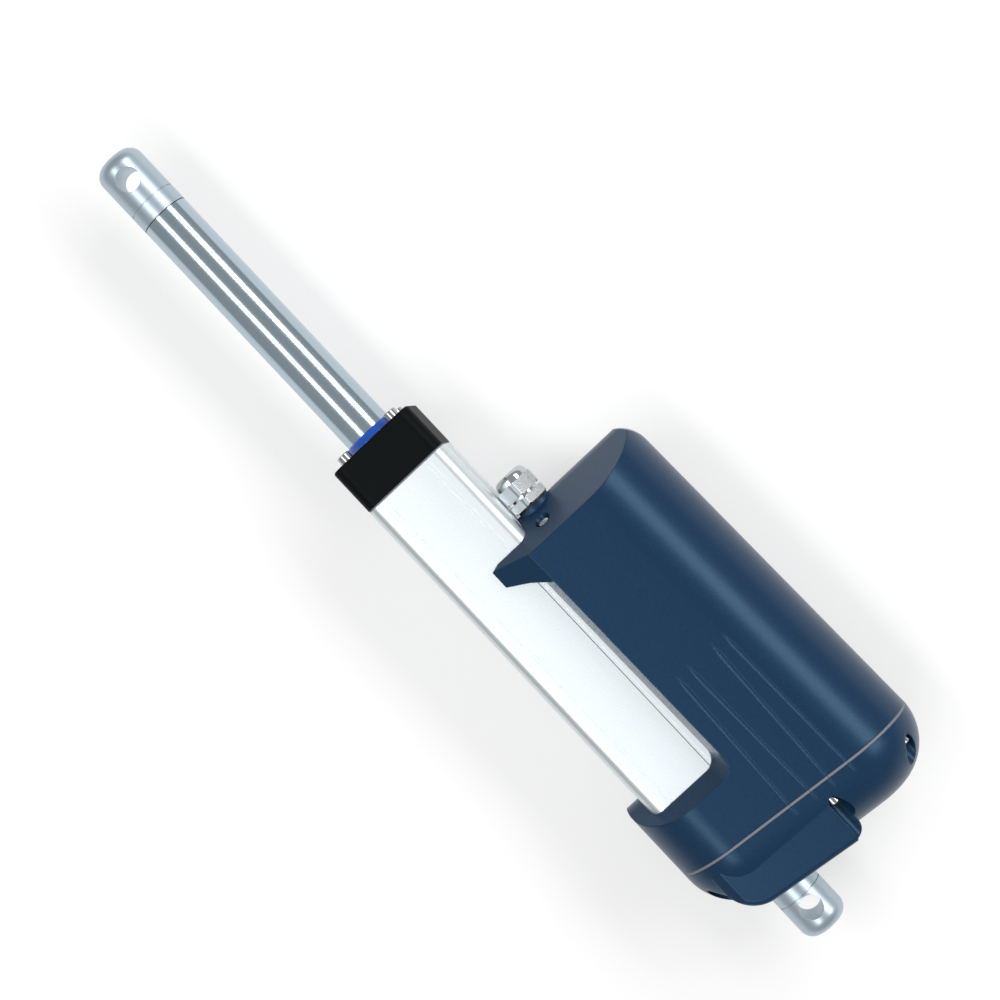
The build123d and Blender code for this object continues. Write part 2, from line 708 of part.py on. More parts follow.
def eye_solid(x_hole, side, x_end, line):
    """A turned eye: round bar with a rounded end, cross bore and turned line."""
    x_tip = x_hole + side * EYE_TIP
    bar = x_cylinder(min(x_tip, x_end), max(x_tip, x_end), ROD_D / 2)
    end = bar.faces().sort_by(Axis.X)[-1 if side > 0 else 0]
    bar = fillet(end.edges(), EYE_TIP_R)
    bar -= Pos(x_hole, 0, 0) * Cylinder(PIN_HOLE_D / 2, FAR)
    mouths = [e for e in bar.edges() if e.length < ROD_D * 2 and abs(e.center().X - x_hole) < OVER]
    bar = chamfer(mouths, PIN_HOLE_EDGE)
    x_line = x_hole - side * line
    half = EYE_LINE_W / 2
    return bar - x_ring(x_line - half, x_line + half, ROD_D / 2 + OVER, ROD_D / 2 - EYE_LINE_DEPTH)


def rear_eye():
    eye = eye_solid(0.0, -1, EYE_FLANGE_X + EYE_FLANGE_T, REAR_EYE_LINE)
    eye += x_cylinder(EYE_FLANGE_X, EYE_FLANGE_X + EYE_FLANGE_T, EYE_FLANGE_D / 2)
    return eye - x_cylinder(EYE_FLANGE_X - OVER, EYE_FLANGE_X + DOWEL_IN_EYE, DOWEL_D / 2 + SEAT_GAP, DOWEL_Y)


def rear_eye_dowel():
    x0 = EYE_FLANGE_X - EYE_FLANGE_GAP - DOWEL_IN_CAP
    return x_cylinder(x0 + SEAT_GAP, EYE_FLANGE_X + DOWEL_IN_EYE - SEAT_GAP, DOWEL_D / 2, DOWEL_Y)


def bearing_retainer():
    plate = tube_solid(TUBE_REAR_X - RETAINER, TUBE_REAR_X, -SEAT_GAP)
    return plate - x_cylinder(0, FAR, (FRONT_BEARING[0] + FRONT_BEARING[1]) / 4)


def idler_axle():
    return x_cylinder(CAVITY_X[0] - AXLE_SINK, CAVITY_X[1] + AXLE_SINK, AXLE_D / 2, IDLER_Y)


# Motor

def motor_can():
    x0 = MOTOR_X[0] + BELL_T
    x1 = MOTOR_X[1] - BRUSH_BELL_T
    return x_ring(x0, x1, MOTOR_D / 2, MOTOR_D / 2 - MOTOR_WALL, MOTOR_Y)


def motor_magnets():
    outer = MOTOR_D / 2 - MOTOR_WALL
    ring = x_ring(ARMATURE_X[0] - MAGNET_OVER, ARMATURE_X[1] + MAGNET_OVER, outer, outer - MAGNET_T, MOTOR_Y)
    half = MAGNET_SPAN / 2
    corner = (MOTOR_D * cos(radians(half)), MOTOR_D * sin(radians(half)))
    wedge = Polygon((0, 0), (corner[0], -corner[1]), (2 * MOTOR_D, 0), corner, align=None)
    magnets = []
    for turn in (90, 270):
        magnets.append(ring & x_prism(Pos(MOTOR_Y, 0) * Rot(0, 0, turn) * wedge, 0, FAR))
    return magnets


def motor_front_plate():
    x0, x1 = MOTOR_X[0], MOTOR_X[0] + BELL_T
    plate = x_cylinder(x0, x1, MOTOR_D / 2, MOTOR_Y)
    plate += x_cylinder(x1, x1 + BELL_SPIGOT, MOTOR_D / 2 - MOTOR_WALL - SEAT_GAP, MOTOR_Y)
    plate -= x_cylinder(0, FAR, SHAFT_BUSH_D / 2 + SEAT_GAP, MOTOR_Y)
    return plate - x_cylinder(0, CAVITY_X[1] + AXLE_SINK, AXLE_D / 2 + SEAT_GAP, IDLER_Y)


def motor_brush_bell():
    x0, x1 = MOTOR_X[1] - BRUSH_BELL_T, MOTOR_X[1]
    bell = x_cylinder(x0, x1, MOTOR_D / 2, MOTOR_Y)
    bell -= x_cylinder(x0 - OVER, x1 - BRUSH_BELL_WALL, MOTOR_D / 2 - BRUSH_BELL_WALL, MOTOR_Y)
    bell += x_cylinder(x1 - REAR_BUSH_L, x1, SHAFT_BUSH_D / 2 + BRUSH_BELL_WALL, MOTOR_Y)
    return bell - x_cylinder(0, FAR, SHAFT_BUSH_D / 2 + SEAT_GAP, MOTOR_Y)


def shaft_bush(x0, x1):
    return x_ring(x0, x1, SHAFT_BUSH_D / 2, SHAFT_D / 2 + SHAFT_RUNNING, MOTOR_Y)


def brush_holder():
    """A ring inside the motor's can with two guides for the brushes."""
    x1 = MOTOR_X[1] - BRUSH_BELL_T
    x0 = x1 - HOLDER_L
    outer = MOTOR_D / 2 - MOTOR_WALL - SEAT_GAP
    inner = COMMUTATOR_D / 2 + HOLDER_FLOOR
    ring = x_ring(x0, x1, outer, inner, MOTOR_Y)
    ring -= x_ring(x0 + HOLDER_FLOOR, x1 + OVER, outer - HOLDER_WALL, inner + HOLDER_WALL, MOTOR_Y)
    guides = brush_box(GUIDE_WALL) & x_ring(x0, x1, outer, inner, MOTOR_Y)
    return ring + guides - brush_box(BRUSH_GAP)


def brush_box(gap):
    """A bar through both brushes, larger than they are by gap on every side."""
    width, height, _ = BRUSH
    reach = MOTOR_D / 2 - MOTOR_WALL - HOLDER_WALL - GUIDE_WALL
    half_w, half_h = width / 2 + gap, height / 2 + gap
    return block(BRUSH_X - half_w, BRUSH_X + half_w, MOTOR_Y - reach, MOTOR_Y + reach, -half_h, half_h)


def motor_brushes():
    width, height, length = BRUSH
    inner = COMMUTATOR_D / 2 + BRUSH_GAP
    brushes = []
    for side in (1, -1):
        y0, y1 = sorted((MOTOR_Y, MOTOR_Y + side * (inner + length)))
        brush = block(BRUSH_X - width / 2, BRUSH_X + width / 2, y0, y1, -height / 2, height / 2)
        brushes.append(brush - x_cylinder(0, FAR, inner, MOTOR_Y))
    return brushes


def motor_circlip():
    """A spring ring that keeps the motor in its bore."""
    x0, x1 = MOTOR_X[0] - CIRCLIP_T, MOTOR_X[0]
    ring = x_ring(x0, x1, MOTOR_D / 2, MOTOR_D / 2 - CIRCLIP_W, MOTOR_Y)
    half = AXLE_D / 2 + CIRCLIP_W / 2
    return ring - block(x0 - OVER, x1 + OVER, MOTOR_Y, MOTOR_Y + MOTOR_D, -half, half)


# Rod and drive nut

def rod_tube():
    return x_ring(ROD_REAR_X, ROD_FRONT_X, ROD_D / 2, ROD_BORE / 2)


def rod_eye():
    eye = eye_solid(EYE_HOLE_X, 1, ROD_FRONT_X, EYE_LINE)
    return eye + x_cylinder(ROD_FRONT_X - EYE_SPIGOT, ROD_FRONT_X, ROD_BORE / 2 - PRESS_GAP)


def drive_nut():
    outer = TUBE_BORE / 2 - NUT_BORE_GAP
    nut = x_cylinder(NUT_REAR_X, NUT_FRONT_X, outer)
    reach = KEYWAY_R - NUT_KEY_GAP
    nut += block(NUT_REAR_X, NUT_FRONT_X, -reach, reach, -NUT_KEY_W / 2, NUT_KEY_W / 2)
    nut -= x_cylinder(0, FAR, SPINDLE_D / 2 + NUT_THREAD_GAP)
    nut -= x_cylinder(ROD_REAR_X, FAR, ROD_D / 2 + PRESS_GAP)
    ring_x = NUT_REAR_X + NUT_RING_OFFSET
    return nut - x_ring(ring_x, ring_x + NUT_RING_W, TUBE_BORE, outer - NUT_RING_T)


def nut_guide_ring():
    outer = TUBE_BORE / 2 - NUT_BORE_GAP / 2
    x0 = NUT_REAR_X + NUT_RING_OFFSET + PRESS_GAP
    x1 = x0 + NUT_RING_W - 2 * PRESS_GAP
    inner = TUBE_BORE / 2 - NUT_BORE_GAP - NUT_RING_T + PRESS_GAP
    split = block(x0 - OVER, x1 + OVER, 0, TUBE_BORE, -NUT_RING_SPLIT / 2, NUT_RING_SPLIT / 2)
    return x_ring(x0, x1, outer, inner) - split


# Spindle

def spindle():
    thread_x = TUBE_REAR_X + LOCKNUT_L + OVER
    steps = [
        (CAVITY_X[0] - REAR_BEARING[2] + END_PLAY, COARSE_X[0] - OVER, REAR_BEARING[0]),
        (COARSE_X[0] - OVER, COARSE_X[1] + END_PLAY, GEAR_SEAT_D),
        (COARSE_X[1] + END_PLAY, FRONT_SEAT_X, SHOULDER_D),
        (FRONT_SEAT_X, thread_x, FRONT_BEARING[0]),
        (thread_x, SPINDLE_END_X, SPINDLE_D),
    ]
    x0, x1, d = steps[0]
    shaft = x_cylinder(x0, x1, d / 2)
    for x0, x1, d in steps[1:]:
        shaft += x_cylinder(x0, x1, d / 2)
    stop_x = SPINDLE_END_X - SPINDLE_STOP_L
    shaft -= x_ring(stop_x, SPINDLE_END_X + OVER, SPINDLE_D, SPINDLE_D / 2 - SPINDLE_STOP_STEP)
    return shaft - spindle_key()


def spindle_key():
    z0 = GEAR_SEAT_D / 2 - KEY_H / 2
    x0, x1 = COARSE_X
    return block(x0 + OVER, x1 - OVER, -KEY_W / 2, KEY_W / 2, z0, z0 + KEY_H)


def spindle_gear():
    first = 180 + 180 / SPINDLE_TEETH
    gear = spur_gear(COARSE_MODULE, SPINDLE_TEETH, COARSE_X[0], COARSE_X[1], 0.0, first)
    gear -= x_cylinder(0, FAR, GEAR_SEAT_D / 2 + SEAT_GAP)
    gear -= key_slot()
    for k in range(GEAR_HOLES):
        turn = 2 * pi * (k + 0.5) / GEAR_HOLES
        place = (GEAR_HOLE_PITCH_R * cos(turn), GEAR_HOLE_PITCH_R * sin(turn))
        gear -= x_cylinder(0, FAR, GEAR_HOLE_R, *place)
    return gear


def key_slot():
    reach = GEAR_SEAT_D / 2 + KEY_H / 2 + SEAT_GAP
    return block(0, FAR, -KEY_W / 2 - SEAT_GAP, KEY_W / 2 + SEAT_GAP, 0, reach)


def spindle_locknut():
    x0, x1 = TUBE_REAR_X + SPACER_OUT, TUBE_REAR_X + LOCKNUT_L
    ring = x_ring(x0, x1, LOCKNUT_D / 2, FRONT_BEARING[0] / 2 + SEAT_GAP)
    width, depth = LOCKNUT_NOTCH
    notch = block(x0 - OVER, x1 + OVER, -width / 2, width / 2, LOCKNUT_D / 2 - depth, LOCKNUT_D)
    for turn in range(4):
        ring -= Rot(90 * turn, 0, 0) * notch
    return ring


def locknut_spacer():
    inner = FRONT_BEARING[0] / 2
    return x_ring(TUBE_REAR_X - RETAINER, TUBE_REAR_X + SPACER_OUT, inner + SPACER_WALL, inner + SEAT_GAP)


def spindle_stop():
    outer = ROD_BORE / 2 - SPINDLE_STOP_GAP
    inner = SPINDLE_D / 2 - SPINDLE_STOP_STEP + SEAT_GAP
    return x_ring(SPINDLE_END_X - SPINDLE_STOP_L, SPINDLE_END_X, outer, inner)


# Idler and armature

def idler_gear():
    x0, x1 = COARSE_X[0] - END_PLAY, COARSE_X[1] + END_PLAY
    gear = spur_gear(COARSE_MODULE, IDLER_SMALL_TEETH, x0, x1, IDLER_Y, 0)
    gear += spur_gear(FINE_MODULE, IDLER_LARGE_TEETH, FINE_X[0], FINE_X[1], IDLER_Y, 180)
    root = COARSE_MODULE * (IDLER_SMALL_TEETH / 2 - DEDENDUM)
    gear += x_cylinder(COARSE_X[1], FINE_X[0] + OVER, root, IDLER_Y)
    return gear - x_cylinder(0, FAR, IDLER_BUSH_D / 2 + SEAT_GAP, IDLER_Y)


def idler_bush():
    inner = AXLE_D / 2 + SHAFT_RUNNING
    return x_ring(CAVITY_X[0] + END_PLAY, CAVITY_X[1] - END_PLAY, IDLER_BUSH_D / 2, inner, IDLER_Y)


def motor_pinion():
    first = 180 / PINION_TEETH
    x0, x1 = FINE_X[0] - END_PLAY, FINE_X[1] + END_PLAY
    gear = spur_gear(FINE_MODULE, PINION_TEETH, x0, x1, MOTOR_Y, first)
    return gear - x_cylinder(0, FAR, SHAFT_D / 2 + SEAT_GAP, MOTOR_Y)


def motor_shaft():
    return x_cylinder(FINE_X[0] - 4 * END_PLAY, sensor_magnet_x(), SHAFT_D / 2, MOTOR_Y)


def sensor_magnet_x():
    return BOARD_X - BOARD_T - MAGNET_TO_BOARD - MAGNET_DISC[1]


def sensor_magnet():
    """A disc on the end of the motor's shaft, which the board counts turns by."""
    x0 = sensor_magnet_x()
    return x_cylinder(x0, x0 + MAGNET_DISC[1], MAGNET_DISC[0] / 2, MOTOR_Y)


def armature_core():
    core = x_cylinder(ARMATURE_X[0], ARMATURE_X[1], ARMATURE_D / 2, MOTOR_Y)
    core -= x_cylinder(0, FAR, SHAFT_D / 2 + SEAT_GAP, MOTOR_Y)
    slot = block(0, FAR, -SLOT_W / 2, SLOT_W / 2, ARMATURE_D / 2 - SLOT_DEPTH, ARMATURE_D)
    for k in range(ARMATURE_SLOTS):
        core -= Pos(0, MOTOR_Y, 0) * Rot(360 * k / ARMATURE_SLOTS, 0, 0) * slot
    return core


def armature_windings():
    """Wound wire: a round crown at each end of the core."""
    outer = ARMATURE_D / 2 - COIL_STEP
    inner = SHAFT_D / 2 + COIL_BORE_GAP
    crowns = []
    for x0 in (ARMATURE_X[0] - COIL_T, ARMATURE_X[1]):
        crown = x_ring(x0, x0 + COIL_T, outer, inner, MOTOR_Y)
        face = crown.faces().sort_by(Axis.X)[0 if x0 < ARMATURE_X[0] else -1]
        crowns.append(fillet(face.edges(), COIL_R))
    return crowns


def commutator():
    x0, x1 = COMMUTATOR_X
    body = x_ring(x0, x1, COMMUTATOR_D / 2, SHAFT_D / 2 + SEAT_GAP, MOTOR_Y)
    riser_l, riser_h = COMMUTATOR_RISER
    body += x_ring(x0, x0 + riser_l, COMMUTATOR_D / 2 + riser_h, SHAFT_D / 2 + SEAT_GAP, MOTOR_Y)
    width, depth = COMMUTATOR_SLIT
    slit = block(x0 - OVER, x1 + OVER, -width / 2, width / 2, COMMUTATOR_D / 2 - depth, COMMUTATOR_D)
    for k in range(ARMATURE_SLOTS):
        body -= Pos(0, MOTOR_Y, 0) * Rot(360 * k / ARMATURE_SLOTS, 0, 0) * slit
    return body


# Nose fittings

def gland_body():
    body = gland_hex(GLAND_SEAT_X, GLAND_SEAT_X + GLAND_HEX_T, GLAND_SEAT_X + GLAND_HEX_T)
    body += x_cylinder(GLAND_SEAT_X - GLAND_THREAD_L, GLAND_SEAT_X, GLAND_THREAD_D / 2, GLAND_Y)
    body += x_cylinder(GLAND_SEAT_X, GLAND_TAIL_X, GLAND_THREAD_D / 2 - GLAND_TAIL_STEP, GLAND_Y)
    body -= x_cylinder(0, FAR, GLAND_HOLE_D / 2, GLAND_Y)
    return body - x_cylinder(GLAND_TAIL_X - GLAND_INSERT_L, FAR, GLAND_INSERT_D / 2 + SEAT_GAP, GLAND_Y)


def gland_hex(x0, x1, x_edge):
    """A hexagon with turned corners, the front ones as if it ended at x_edge."""
    bar = x_cylinder(x0, x_edge, GLAND_HEX / sqrt(3), GLAND_Y)
    return x_hex(x0, x1, GLAND_HEX, GLAND_Y) & chamfer(bar.edges(), GLAND_HEX_EDGE)


def gland_nut():
    x0, x1 = GLAND_NUT_X, GLAND_NUT_X + GLAND_NUT_T
    dome = x_cylinder(x1, x1 + GLAND_DOME, GLAND_HEX / 2 - GLAND_DOME_STEP, GLAND_Y)
    dome = fillet(dome.faces().sort_by(Axis.X)[-1].edges(), GLAND_DOME_R)
    nut = gland_hex(x0, x1, x1 + OVER) + dome
    nut -= x_cylinder(0, GLAND_TAIL_X + SEAT_GAP, GLAND_THREAD_D / 2 - GLAND_TAIL_STEP + SCREW_GAP, GLAND_Y)
    return nut - x_cylinder(0, FAR, GLAND_INSERT_D / 2 - GLAND_LIP, GLAND_Y)


def gland_insert():
    return x_ring(GLAND_TAIL_X - GLAND_INSERT_L, GLAND_TAIL_X, GLAND_INSERT_D / 2, GLAND_HOLE_D / 2, GLAND_Y)


def gland_oring():
    outer = GLAND_HEX / 2 - GLAND_HEX_EDGE
    return x_ring(GLAND_X, GLAND_SEAT_X, outer, GLAND_THREAD_D / 2 + SEAT_GAP, GLAND_Y)


def blanking_screw():
    head = x_cylinder(PLUG_FLOOR_X, PLUG_FLOOR_X + PLUG_HEAD_T, PLUG_HEAD_D / 2, PLUG_Y, PLUG_Z)
    head = fillet(head.faces().sort_by(Axis.X)[-1].edges(), PLUG_HEAD_R)
    socket = Pos(PLUG_Y, PLUG_Z) * RegularPolygon(SMALL_HEX / 2, 6, major_radius=False)
    head -= x_prism(socket, PLUG_FLOOR_X + PLUG_HEAD_R, FAR)
    return head + x_cylinder(PLUG_FLOOR_X - PLUG_THREAD_L, PLUG_FLOOR_X, SMALL_SCREW_D / 2, PLUG_Y, PLUG_Z)


def solids_of(made):
    if isinstance(made, (list, tuple)):
        return [s for item in made for s in solids_of(item)]
    return list(made.solids())


def main():
    form = shell_form()
    rear_outer, rear_balls, rear_inner = bearing(CAVITY_X[0] - REAR_BEARING[2], REAR_BEARING)
    front_outer, front_balls, front_inner = bearing(FRONT_SEAT_X, FRONT_BEARING)
    nodes = {
        "motor_housing": motor_housing(form),
        "end_cap": end_cap(form),
        "end_cap_gasket": end_cap_gasket(form),
        "end_cap_screws": end_cap_screws(),
        "outer_tube": outer_tube(),
        "front_gasket": front_gasket(),
        "front_cap": front_cap(),
        "front_cap_screws": front_cap_screws(),
        "rod_guide_bush": rod_guide_bush(),
        "rod_wiper": rod_wiper(),
        "rear_eye": rear_eye(),
        "rear_eye_dowel": rear_eye_dowel(),
        "bearing_retainer": bearing_retainer(),
        "rear_bearing_outer": rear_outer,
        "rear_bearing_balls": rear_balls,
        "front_bearing_outer": front_outer,
        "front_bearing_balls": front_balls,
        "idler_axle": idler_axle(),
        "motor_can": motor_can(),
        "motor_magnets": motor_magnets(),
        "motor_front_plate": motor_front_plate(),
        "motor_brush_bell": motor_brush_bell(),
        "motor_front_bush": shaft_bush(MOTOR_X[0], MOTOR_X[0] + BELL_T + BELL_SPIGOT),
        "motor_rear_bush": shaft_bush(MOTOR_X[1] - REAR_BUSH_L, MOTOR_X[1]),
        "brush_holder": brush_holder(),
        "motor_brushes": motor_brushes(),
        "motor_circlip": motor_circlip(),
        "control_board": control_board(),
        "gland_body": gland_body(),
        "gland_nut": gland_nut(),
        "gland_insert": gland_insert(),
        "gland_oring": gland_oring(),
        "blanking_screw": blanking_screw(),
        "rod_tube": rod_tube(),
        "rod_eye": rod_eye(),
        "drive_nut": drive_nut(),
        "nut_guide_ring": nut_guide_ring(),
        "spindle": spindle(),
        "spindle_gear": spindle_gear(),
        "spindle_key": spindle_key(),
        "rear_bearing_inner": rear_inner,
        "front_bearing_inner": front_inner,
        "locknut_spacer": locknut_spacer(),
        "spindle_locknut": spindle_locknut(),
        "spindle_stop": spindle_stop(),
        "idler_gear": idler_gear(),
        "idler_bush": idler_bush(),
        "motor_pinion": motor_pinion(),
        "motor_shaft": motor_shaft(),
        "armature_core": armature_core(),
        "armature_windings": armature_windings(),
        "commutator": commutator(),
        "sensor_magnet": sensor_magnet(),
    }
    os.makedirs("parts", exist_ok=True)
    for name, made in nodes.items():
        export_step(Compound(children=solids_of(made)), f"parts/{name}.step")
        print(name, "written")


main()
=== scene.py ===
import json
from math import atan2, cos, pi, sin

import bpy
from mathutils import Matrix, Vector


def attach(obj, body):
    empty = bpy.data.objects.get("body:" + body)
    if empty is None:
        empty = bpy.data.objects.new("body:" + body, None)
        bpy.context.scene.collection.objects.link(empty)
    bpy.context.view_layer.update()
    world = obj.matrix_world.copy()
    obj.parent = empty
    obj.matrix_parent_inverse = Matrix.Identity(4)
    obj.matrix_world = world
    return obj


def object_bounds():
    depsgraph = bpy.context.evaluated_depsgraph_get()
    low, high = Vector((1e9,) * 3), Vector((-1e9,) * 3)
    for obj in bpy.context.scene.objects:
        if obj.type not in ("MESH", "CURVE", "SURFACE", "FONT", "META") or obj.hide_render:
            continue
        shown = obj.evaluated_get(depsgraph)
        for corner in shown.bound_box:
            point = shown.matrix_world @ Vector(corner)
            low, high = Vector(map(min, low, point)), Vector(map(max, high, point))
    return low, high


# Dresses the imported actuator: a finish for every node, two small turned pieces, a floor, light
# and the photo's camera. Metres, in the part's own frame: the pin bores stand along Z, the rod
# points along +X and the motor lies on the -Y side.

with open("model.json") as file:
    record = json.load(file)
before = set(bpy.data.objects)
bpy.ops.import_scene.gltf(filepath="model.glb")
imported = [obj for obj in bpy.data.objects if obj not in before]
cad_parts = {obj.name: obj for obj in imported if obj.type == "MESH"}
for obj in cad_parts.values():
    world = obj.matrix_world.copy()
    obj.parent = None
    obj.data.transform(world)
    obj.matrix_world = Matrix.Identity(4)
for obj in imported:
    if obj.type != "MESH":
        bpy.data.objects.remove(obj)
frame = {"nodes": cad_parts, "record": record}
REST_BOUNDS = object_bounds()
MM = 0.001

# Camera, at the photograph's angle: straight above the part, a little towards its motor
CAMERA_PLACE = Vector((0.2332, -0.1139, 1.1127))
CAMERA_TARGET = Vector((0.2423, -0.0239, 0.0))
CAMERA_UP = Vector((0.7268, -0.6851, 0.0))
CAMERA_LENS_MM = 83.7
CAMERA_SENSOR_MM = 36.0

# Light: a pale room, and two strips whose reflections run along the rod and the barrel
ROOM_STRENGTH = 0.46
LIT_Y = -0.03
STRIP_LENGTH = 1.5
MOTOR_SIDE_STRIP = {"place": (0.25, -0.87, 0.84), "width": 0.36, "watts": 10.8}
ROD_SIDE_STRIP = {"place": (0.25, 0.44, 1.05), "width": 0.30, "watts": 7.1}

# Floor, just under the housing
FLOOR_REACH = 20.0
FLOOR_DROP_MM = 0.2
FLOOR_OWN_WHITE = 0.5

# Colours read off, as sRGB
WHITE = "#FFFFFF"
FLOOR_WHITE = "#F4F4F4"
NAVY = "#122B46"
NAVY_DARK = "#0F2741"
NAVY_LIGHT = "#152F4B"
NAVY_GLOSS = "#A6D4F2"
CAP_BLACK = "#070B0D"
WIPER_BLUE = "#0E4DB4"
GASKET_GREY = "#6C6D76"
ALUMINIUM = "#D6DDE0"
ALUMINIUM_DARK = "#CED7DB"
ALUMINIUM_LIGHT = "#DEE3E5"
CHROME = "#AEBEC8"
TURNED_STEEL = "#B2C0CA"
PLAIN_STEEL = "#A9ABAE"
NICKEL = "#BEC2C5"
BRONZE = "#B38A46"
COPPER = "#B4623A"
FERRITE = "#3A3B3D"
CARBON = "#242426"
ACETAL = "#E6E3DA"
RUBBER_BLACK = "#17181A"
BOARD_GREEN = "#1C5B36"


def linear(colour):
    """An sRGB hex colour as linear RGBA."""
    parts = [int(colour[i:i + 2], 16) / 255 for i in (1, 3, 5)]
    lit = [c / 12.92 if c <= 0.04045 else ((c + 0.055) / 1.055) ** 2.4 for c in parts]
    return (*lit, 1.0)


# Materials

def add(tree, kind, settings=None, links=None):
    """A node of that kind with its settings, sockets set or linked by name or number."""
    node = tree.nodes.new(kind)
    for name, value in (settings or {}).items():
        if isinstance(name, int) or name in node.inputs.keys():
            node.inputs[name].default_value = value
        else:
            setattr(node, name, value)
    for name, source in (links or {}).items():
        tree.links.new(source, node.inputs[name])
    return node


def material(name, colour, metallic, roughness, **more):
    """A material with the even values set on its shader, and its tree and shader."""
    made = bpy.data.materials.new(name)
    made.use_nodes = True
    shader = made.node_tree.nodes["Principled BSDF"]
    shader.inputs["Base Color"].default_value = linear(colour)
    shader.inputs["Metallic"].default_value = metallic
    shader.inputs["Roughness"].default_value = roughness
    for socket, value in more.items():
        shader.inputs[socket.replace("_", " ")].default_value = value
    return made, made.node_tree, shader


def grain(tree, size_mm, stretch=(1.0, 1.0, 1.0)):
    """Noise with grains of about size_mm, drawn out along an axis where stretch is below 1."""
    place = add(tree, "ShaderNodeTexCoord")
    scale = tuple(s / (size_mm * MM) for s in stretch)
    mapping = add(tree, "ShaderNodeMapping", {"Scale": scale}, {"Vector": place.outputs["Object"]})
    settings = {"Scale": 1.0, "Detail": 2.0}
    return add(tree, "ShaderNodeTexNoise", settings, {"Vector": mapping.outputs[0]})


def spread(tree, noise, low, high):
    """The noise as a value from low to high."""
    settings = {"From Min": 0.3, "From Max": 0.7, "To Min": low, "To Max": high}
    return add(tree, "ShaderNodeMapRange", settings, {"Value": noise.outputs[0]}).outputs[0]


def bump(tree, shader, noise, height_mm, edge_mm=0.0):
    """Relief from the noise, on edges rounded over edge_mm as casting and finishing leave them."""
    links = {"Height": noise.outputs[0]}
    if edge_mm:
        edge = add(tree, "ShaderNodeBevel", {"samples": 8, "Radius": edge_mm * MM})
        links["Normal"] = edge.outputs[0]
    relief = add(tree, "ShaderNodeBump", {"Distance": height_mm * MM, "Strength": 0.6}, links)
    tree.links.new(relief.outputs[0], shader.inputs["Normal"])


def mottle(tree, shader, noise, dark, light):
    """A base colour that varies between two close tones with the noise."""
    tones = {"data_type": "RGBA", 6: linear(dark), 7: linear(light)}
    mix = add(tree, "ShaderNodeMix", tones, {0: spread(tree, noise, 0.0, 1.0)})
    tree.links.new(mix.outputs[2], shader.inputs["Base Color"])


def powder_coat():
    """Satin powder coat on a die casting: fine orange peel in a soft bluish gloss that draws one
    broad band of light along the barrel, and fine light lines along the face grooves."""
    made, tree, shader = material("powder_coated_casting", NAVY, 0.0, 0.30, Specular_IOR_Level=0.40)
    shader.inputs["Specular Tint"].default_value = linear(NAVY_GLOSS)
    bump(tree, shader, grain(tree, 0.35), 0.03, 1.0)
    mottle(tree, shader, grain(tree, 0.6), NAVY_DARK, NAVY_LIGHT)
    tree.links.new(spread(tree, grain(tree, 0.8), 0.27, 0.35), shader.inputs["Roughness"])
    return made


def anodised_extrusion():
    """Satin anodised aluminium: pale and nearly matt, with a fine etched speckle over faint
    streaks from the die along X. The real etch is finer than a pixel, so it is drawn coarser."""
    made, tree, shader = material("anodised_extrusion", ALUMINIUM, 1.0, 0.40)
    bump(tree, shader, grain(tree, 0.35), 0.004, 0.3)
    mottle(tree, shader, grain(tree, 0.6), ALUMINIUM_DARK, ALUMINIUM_LIGHT)
    streaks = grain(tree, 0.4, (0.02, 1.0, 1.0))
    tree.links.new(spread(tree, streaks, 0.37, 0.42), shader.inputs["Roughness"])
    return made


def moulded_plastic(name, colour, roughness, gloss=0.3):
    """Plastic or pressed powder from a mould: an even dull sheen over a fine spark-eroded grain."""
    made, tree, shader = material(name, colour, 0.0, roughness, Specular_IOR_Level=gloss)
    bump(tree, shader, grain(tree, 0.3), 0.02, 0.5)
    return made


def smooth_sheet(name, colour, roughness):
    """Rubber or laminate pressed against a polished plate: smooth, with a slightly uneven gloss."""
    made, tree, shader = material(name, colour, 0.0, roughness)
    gloss = spread(tree, grain(tree, 2.0), roughness - 0.04, roughness + 0.06)
    tree.links.new(gloss, shader.inputs["Roughness"])
    return made


def worked_metal(name, colour, roughness, size_mm, stretch, height_mm, edge_mm=0.2):
    """Bare or plated metal: reflections blurred by tool marks that run round the piece, or by
    the even skin that casting or plating leaves."""
    made, tree, shader = material(name, colour, 1.0, roughness)
    marks = grain(tree, size_mm, stretch)
    bump(tree, shader, marks, height_mm, edge_mm)
    gloss = spread(tree, marks, roughness - 0.02, roughness + 0.02)
    tree.links.new(gloss, shader.inputs["Roughness"])
    return made


